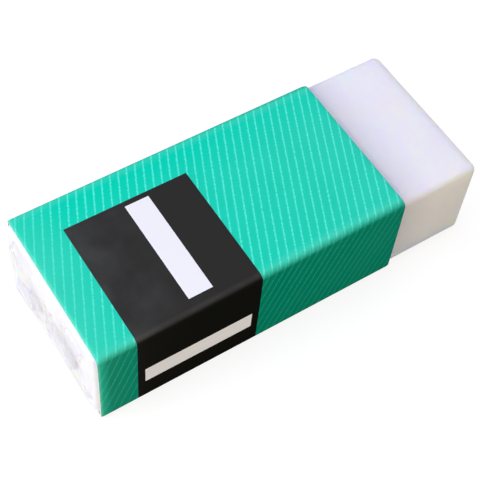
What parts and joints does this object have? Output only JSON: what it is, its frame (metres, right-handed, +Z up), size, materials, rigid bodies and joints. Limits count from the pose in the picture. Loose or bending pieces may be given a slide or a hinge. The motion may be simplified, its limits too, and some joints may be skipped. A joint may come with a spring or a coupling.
{
  "type": "rubber eraser",
  "caption": "Block-shaped white vinyl drawing eraser with rounded edges, wrapped in clear film at one end and held in a folded card sleeve that slides along it, leaving the other end bare.",
  "frame": {"origin": "bottom centre of the whole eraser: on the surface it lies on, under the middle of its overall box", "axes": "+X along the block towards its bare end, +Y across its width, +Z up through its thickness; the sleeve slides along X"},
  "size_m": [0.0602, 0.0242, 0.0154],
  "materials": {
    "vinyl": "matte",
    "clear_film": "gloss",
    "printed_card": "satin"
  },
  "bodies": {
    "block": {"eraser_block": "vinyl", "film_wrap": "clear_film"},
    "sleeve": {"card_sleeve": "printed_card"}
  },
  "joints": [
    {"name": "sleeve_slide", "type": "slide", "parent": "block", "child": "sleeve", "axis": [1, 0, 0], "range_m": [-0.02, 0.0129]}
  ]
}
